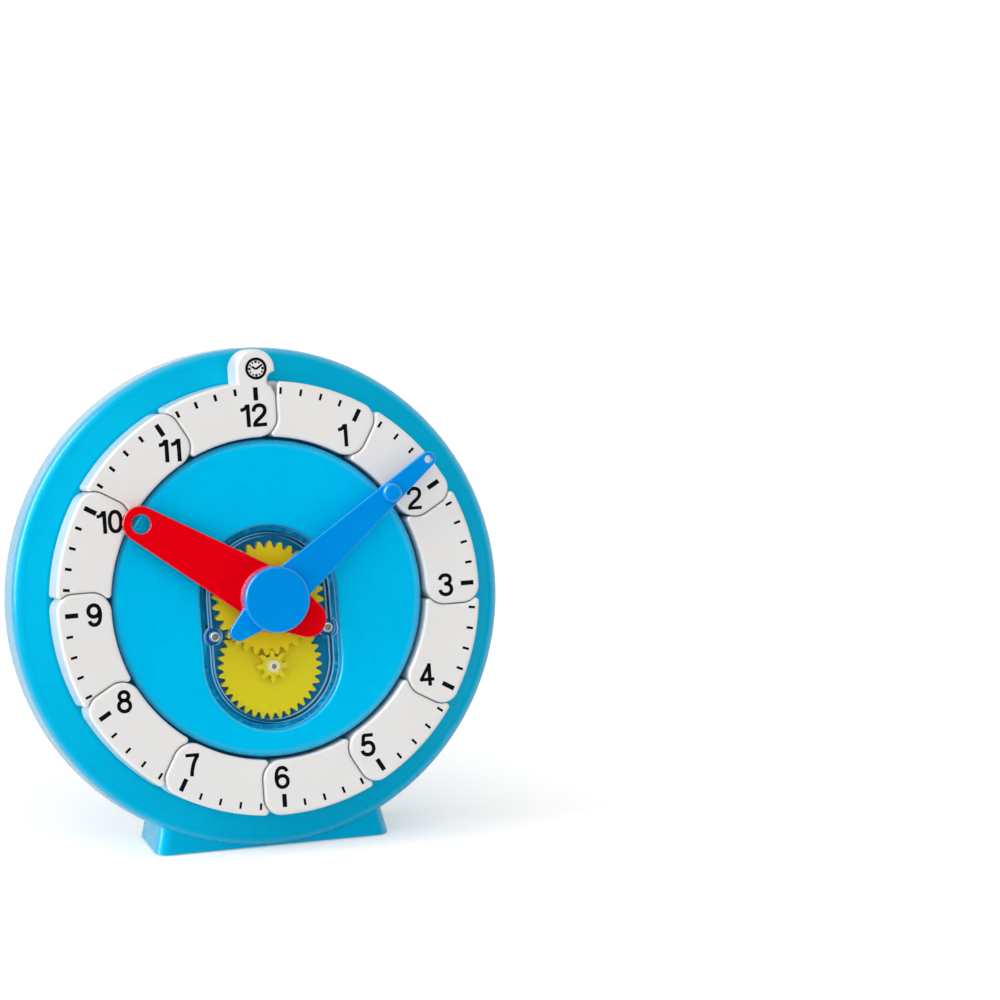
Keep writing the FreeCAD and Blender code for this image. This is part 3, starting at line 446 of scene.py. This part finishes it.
# %% Glyphs
STEM = 0.168
BOWL = 0.162
BAR = 0.150
SIX = curve((0.232, 0.745), (0.215, 0.865), (0.130, 0.932), (0.015, 0.932),
            (-0.170, 0.932), (-0.260, 0.760), (-0.260, 0.470),
            (-0.260, 0.200), (-0.160, 0.067), (0.005, 0.067),
            (0.155, 0.067), (0.258, 0.175), (0.258, 0.320),
            (0.258, 0.470), (0.155, 0.572), (0.015, 0.572),
            (-0.120, 0.572), (-0.225, 0.480), (-0.245, 0.350))
GLYPHS = {
    "0": [(ellipse(0.0, 0.5, 0.252, 0.433, squareness=2.25), BOWL)],
    "1": [(straight((0.07, 0.0), (0.07, 1.0)), STEM),
          (curve((-0.270, 0.765), (-0.110, 0.770), (-0.010, 0.830), (0.020, 0.970)), BAR)],
    "2": [(curve((-0.255, 0.665), (-0.255, 0.840), (-0.150, 0.932), (0.005, 0.932),
                 (0.155, 0.932), (0.255, 0.845), (0.255, 0.710),
                 (0.255, 0.560), (0.130, 0.460), (-0.030, 0.340),
                 (-0.140, 0.255), (-0.220, 0.180), (-0.240, 0.070)), BOWL),
          (straight((-0.315, 0.070), (0.315, 0.070)), BAR)],
    "3": [(curve((-0.245, 0.725), (-0.240, 0.860), (-0.135, 0.932), (0.0, 0.932),
                 (0.145, 0.932), (0.228, 0.855), (0.228, 0.745),
                 (0.228, 0.615), (0.130, 0.535), (-0.060, 0.540)), BOWL),
          (curve((-0.060, 0.540), (0.150, 0.545), (0.262, 0.450), (0.262, 0.305),
                 (0.262, 0.155), (0.150, 0.067), (0.0, 0.067),
                 (-0.150, 0.067), (-0.255, 0.150), (-0.262, 0.295)), BOWL)],
    "4": [(straight((0.115, 0.0), (0.115, 1.0)), STEM),
          (straight((0.120, 0.930), (-0.285, 0.290)), BAR),
          (straight((-0.345, 0.290), (0.325, 0.290)), BAR)],
    "5": [(straight((-0.185, 0.930), (0.265, 0.930)), BAR),
          (straight((-0.165, 0.960), (-0.225, 0.455)), BAR),
          (curve((-0.222, 0.480), (-0.150, 0.570), (-0.070, 0.605), (0.020, 0.605),
                 (0.165, 0.605), (0.262, 0.495), (0.262, 0.340),
                 (0.262, 0.175), (0.150, 0.067), (-0.005, 0.067),
                 (-0.145, 0.067), (-0.245, 0.140), (-0.262, 0.265)), BOWL)],
    "6": [(SIX, BOWL)],
    "7": [(straight((-0.315, 0.930), (0.300, 0.930)), BAR),
          (curve((0.240, 0.905), (0.080, 0.730), (-0.050, 0.420), (-0.085, 0.0)), STEM)],
    "8": [(ellipse(0.0, 0.742, 0.210, 0.190), BOWL), (ellipse(0.0, 0.310, 0.258, 0.243), BOWL)],
    "9": [([Vector((-p.x, 1.0 - p.y)) for p in SIX], BOWL)],
}
GLYPH_HEIGHT = 9.15
GLYPH_MIDDLE = Vector((0.0, 0.5))
print("glyphs:", "".join(GLYPHS))

# %% [markdown]
# ## From a stroke to a piece of ink
# Ink has next to no thickness, but a little keeps it from flickering against the link. Each
# stroke starts as its two side lines. Bridging them gives a flat ribbon, and extruding the
# ribbon gives a closed solid that stands just proud of the plastic.

# %% Ribbons of ink
INK_BOTTOM = -0.05
INK_TOP = 0.03
CLOSED_SHARE = 0.01
SHARPEST_BEND = 0.5


def side_line(mesh, points, closed, reach):
    """A line of edges along the points, shifted sideways, with mitred bends."""
    count = len(points)
    verts = []
    for i, p in enumerate(points):
        before = p - points[i - 1] if closed or i else None
        after = points[(i + 1) % count] - p if closed or i < count - 1 else before
        before = (before or after).normalized()
        after = after.normalized()
        way = (before + after).normalized()
        shift = reach / max(SHARPEST_BEND, way.dot(after))
        place = p + Vector((-way.y, way.x)) * shift
        verts.append(mesh.verts.new(on_dial(place.x, place.y, LINK_FRONT + INK_BOTTOM)))
    ends = verts[1:] + verts[:1] if closed else verts[1:]
    return [mesh.edges.new(pair) for pair in zip(verts, ends)]


def stroke(mesh, points, width):
    closed = (points[0] - points[-1]).length < width * CLOSED_SHARE
    if closed:
        points = points[:-1]
    edges = [edge for reach in (width / 2, -width / 2)
             for edge in side_line(mesh, points, closed, reach)]
    ribbon = bmesh.ops.bridge_loops(mesh, edges=edges)["faces"]
    grown = bmesh.ops.extrude_face_region(mesh, geom=ribbon)["geom"]
    top = [item for item in grown if isinstance(item, bmesh.types.BMVert)]
    bmesh.ops.translate(mesh, verts=top, vec=OUT * (INK_TOP - INK_BOTTOM) * MM)


def write_number(mesh, glyphs, x, y, weight):
    """Puts glyphs, given with their offsets in millimetres, round a centre."""
    for name, offset in glyphs:
        for points, width in GLYPHS[name]:
            placed = [Vector((x + offset, y)) + (p - GLYPH_MIDDLE) * GLYPH_HEIGHT for p in points]
            stroke(mesh, placed, width * weight * GLYPH_HEIGHT)


def finish_print(name, mesh, body):
    bmesh.ops.recalc_face_normals(mesh, faces=mesh.faces)
    open_edges = sum(not edge.is_manifold for edge in mesh.edges)
    print(name, "faces:", len(mesh.faces), "open edges:", open_edges)
    data = bpy.data.meshes.new(name)
    mesh.to_mesh(data)
    mesh.free()
    data.materials.append(black_ink)
    obj = bpy.data.objects.new(name, data)
    bpy.context.scene.collection.objects.link(obj)
    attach(obj, body)


# %% [markdown]
# ## Marks and numbers
# Every link carries a bold mark at its own hour, four short marks and its number. The print is
# never quite true on such a toy, so each link has its own small drift: how far out the bold
# mark sits, how that grows from one mark to the next, and how far round it is. Some links also
# took a little more or less ink on their bold mark, their short marks and their number.

# %% Numbers
HOURS = {
    1: (35.43, 63.43, [("1", 0.0)]),
    2: (62.92, 35.78, [("2", 0.0)]),
    3: (73.56, -0.42, [("3", 0.0)]),
    4: (63.14, -36.33, [("4", 0.0)]),
    5: (36.21, -62.61, [("5", 0.0)]),
    6: (-0.43, -72.52, [("6", 0.0)]),
    7: (-36.74, -64.16, [("7", 0.0)]),
    8: (-63.01, -36.31, [("8", 0.0)]),
    9: (-72.66, -0.69, [("9", 0.0)]),
    10: (-63.63, 35.96, [("1", -2.8), ("0", 2.2)]),
    11: (-37.06, 62.55, [("1", -1.95), ("1", 3.1)]),
    12: (-1.64, 74.18, [("1", -2.85), ("2", 2.45)]),
}
print("numbers:", len(HOURS))

# %% Marks
DEGREES_PER_HOUR = 30.0
MINUTE_STEP = 5.755
SHORT_MARKS = 4
BOLD_RADIUS, BOLD_LENGTH, BOLD_WIDTH = 82.3, 5.35, 1.85
SHORT_RADIUS, SHORT_LENGTH, SHORT_WIDTH = 84.0, 2.75, 1.02
DRIFT = {
    1: (-0.14, 0.03, 0.03),
    2: (-0.28, 0.0, 0.29),
    3: (0.42, -0.16, 0.32),
    4: (0.65, 0.0, 0.11),
    5: (-0.2, 0.2, -0.03),
    6: (-0.36, 0.01, 0.0),
    7: (0.56, -0.1, -0.26),
    8: (0.1, 0.03, -0.3),
    9: (-0.4, 0.13, -0.35),
    10: (-0.04, -0.01, -0.16),
    11: (-0.55, 0.05, 0.32),
    12: (0.48, -0.24, -0.19),
}
EVEN_INK = (1.0, 1.0, 1.0)
INK_WEIGHT = {
    1: (0.96, 1.0, 1.02),
    2: (1.02, 1.0, 0.96),
    5: (1.0, 0.98, 1.05),
    7: (0.99, 0.94, 1.0),
    9: (1.05, 1.05, 1.07),
    10: (1.08, 1.16, 1.03),
    11: (1.06, 1.2, 1.1),
    12: (1.04, 1.2, 1.06),
}


def mark(mesh, degrees, radius, length, width):
    ends = [polar(radius + side * length / 2, degrees) for side in (-1, 1)]
    stroke(mesh, ends, width)


for hour, (x, y, glyphs) in HOURS.items():
    outward, growth, round_dial = DRIFT[hour]
    degrees = DEGREES_PER_HOUR * hour + math.degrees(round_dial / BOLD_RADIUS)
    mesh = bmesh.new()
    bold, short, number = INK_WEIGHT.get(hour, EVEN_INK)
    mark(mesh, degrees, BOLD_RADIUS + outward, BOLD_LENGTH, BOLD_WIDTH * bold)
    for minute in range(1, SHORT_MARKS + 1):
        radius = SHORT_RADIUS + outward + growth * minute
        mark(mesh, degrees - minute * MINUTE_STEP, radius, SHORT_LENGTH, SHORT_WIDTH * short)
    write_number(mesh, glyphs, x, y, number)
    finish_print("print_%02d" % hour, mesh, "link_%02d" % hour)

# %% [markdown]
# ## The tab's picture
# The round tab of the last link carries a little clock of its own: a ring, twelve dots and two
# hands.

# %% The little clock
TAB_CENTRE = Vector((0.7, 92.95))
TAB_RING = 3.9
TAB_RING_WIDTH = 1.15
DOT_RING = 2.72
DOTS = 12
DOT_SIZES = (1.0, 0.7, 0.7)
TAB_HUB = TAB_CENTRE + Vector((0.0, -0.25))
TAB_HANDS = ((56, 3.2), (-57, 2.1))
TAB_HAND_WIDTH = 0.85

mesh = bmesh.new()
stroke(mesh, ellipse(TAB_CENTRE.x, TAB_CENTRE.y, TAB_RING, TAB_RING), TAB_RING_WIDTH)
for dot in range(DOTS):
    centre = TAB_CENTRE + polar(DOT_RING, DEGREES_PER_HOUR * dot)
    size = DOT_SIZES[dot % len(DOT_SIZES)]
    ends = [centre + polar(side * size / 2, DEGREES_PER_HOUR * dot) for side in (-1, 1)]
    stroke(mesh, ends, size)
for degrees, length in TAB_HANDS:
    stroke(mesh, [TAB_HUB, TAB_HUB + polar(length, degrees)], TAB_HAND_WIDTH)
finish_print("print_tab", mesh, "link_12")

# %% [markdown]
# ## Floor
# The clock stands on a plain floor, a matt and slightly warm white that keeps the clock's
# shadow. The camera also sees a faint glow in it, so that its lit part is a clean white.

# %% Floor
FLOOR_SIZE = 6.0
FLOOR_DROP = 0.0005
FLOOR_DARK = (0.96, 0.94, 0.92, 1.0)
FLOOR_PALE = (0.97, 0.95, 0.93, 1.0)
FLOOR_PATCH_SCALE = 2.0
FLOOR_ROUGHNESS = 0.9
FLOOR_GLOW = 0.28


def floor_material(name):
    s = Shader(bpy.data.materials.new(name))
    soft = s.noise(FLOOR_PATCH_SCALE)
    camera_ray = s.node("ShaderNodeLightPath", out="Is Camera Ray")
    return s.finish(s.node("ShaderNodeBsdfPrincipled", {
        "Base Color": s.mixed(soft, FLOOR_DARK, FLOOR_PALE),
        "Roughness": FLOOR_ROUGHNESS,
        "Specular IOR Level": 0.0,
        "Emission Color": s.mixed(camera_ray, BLACK, WHITE),
        "Emission Strength": FLOOR_GLOW,
    }))


mesh = bmesh.new()
bmesh.ops.create_grid(mesh, x_segments=2, y_segments=2, size=FLOOR_SIZE)
bmesh.ops.translate(mesh, verts=mesh.verts, vec=(0.0, 0.0, -FLOOR_DROP))
floor_data = bpy.data.meshes.new("floor")
mesh.to_mesh(floor_data)
mesh.free()
floor_data.materials.append(floor_material("floor_white"))
floor = bpy.data.objects.new("floor", floor_data)
bpy.context.scene.collection.objects.link(floor)

# %% [markdown]
# ## Room and light
# The camera, and everything shiny or clear, sees a white room. The room lights the clock less
# strongly than that, so that colours come out as they are written. A very wide soft light
# stands to the left and above, with a narrower one low at the left. A third one, high at the
# left, shows only in gloss and draws the thin highlights on rounded edges.

# %% Room
ROOM_SEEN = 1.0
ROOM_LIGHT = 0.5
room = bpy.data.worlds.new("room")
bpy.context.scene.world = room
s = Shader(room, "ShaderNodeOutputWorld")
seen = s.node("ShaderNodeLightPath", out="Is Camera Ray")
for kind in ("Is Glossy Ray", "Is Transmission Ray"):
    seen = seen.maths("MAXIMUM", s.node("ShaderNodeLightPath", out=kind))
lit = s.node("ShaderNodeBackground", {"Color": WHITE, "Strength": ROOM_LIGHT})
shown = s.node("ShaderNodeBackground", {"Color": WHITE, "Strength": ROOM_SEEN})
s.finish(s.node("ShaderNodeMixShader", {0: seen, 1: lit, 2: shown}))
print("the room lights with", ROOM_LIGHT, "and is seen as", ROOM_SEEN)

# %% Lights


def sun_light(name, way, angle, strength, only_in_gloss=False):
    """A far light along a direction. A wide angle makes it soft."""
    data = bpy.data.lights.new(name, "SUN")
    data.energy = strength
    data.angle = math.radians(angle)
    obj = bpy.data.objects.new(name, data)
    obj.rotation_mode = "QUATERNION"
    obj.rotation_quaternion = Vector(way).to_track_quat("-Z", "Y")
    obj.visible_diffuse = not only_in_gloss
    bpy.context.scene.collection.objects.link(obj)
    print("light", name, "of strength", strength)


sun_light("key", way=(0.48, 0.58, -0.66), angle=96.0, strength=1.45)
sun_light("side", way=(0.98, 0.04, -0.18), angle=30.0, strength=1.6)
sun_light("strip", way=(0.806, 0.108, -0.581), angle=50.0, strength=5.5, only_in_gloss=True)

# %% [markdown]
# ## Camera
# The camera stands two metres in front of the dial, to its left and above it, with a long lens.
# Its place and direction are given in the dial's frame, and its lens as the number of picture
# widths between the lens and the picture.

# %% Camera
CAMERA_PLACE = (-500.18, 117.19, 2099.1)
CAMERA_FORWARD = (0.27894, -0.03954, -0.95949)
CAMERA_UP = (0.07673, 0.99687, -0.01877)
LENS_IN_WIDTHS = 5.25838
SENSOR = 36.0

camera_data = bpy.data.cameras.new("camera")
camera_data.sensor_width = SENSOR
camera_data.lens = LENS_IN_WIDTHS * SENSOR
camera_data.clip_start = 0.05
camera_data.clip_end = 50.0
camera = bpy.data.objects.new("camera", camera_data)
back = -turn_to_model(CAMERA_FORWARD).normalized()
side = turn_to_model(CAMERA_UP).cross(back).normalized()
up = back.cross(side)
camera.matrix_world = Matrix.Translation(on_dial(*CAMERA_PLACE)) @ Matrix(
    (side, up, back)).transposed().to_4x4()
bpy.context.scene.collection.objects.link(camera)
bpy.context.scene.camera = camera
bpy.context.scene.view_settings.view_transform = "Standard"
print("lens:", camera_data.lens, "mm")

# %% [markdown]
# ## The last step
# The last cell brings every object's place up to date.

# %% The last call
bpy.context.view_layer.update()
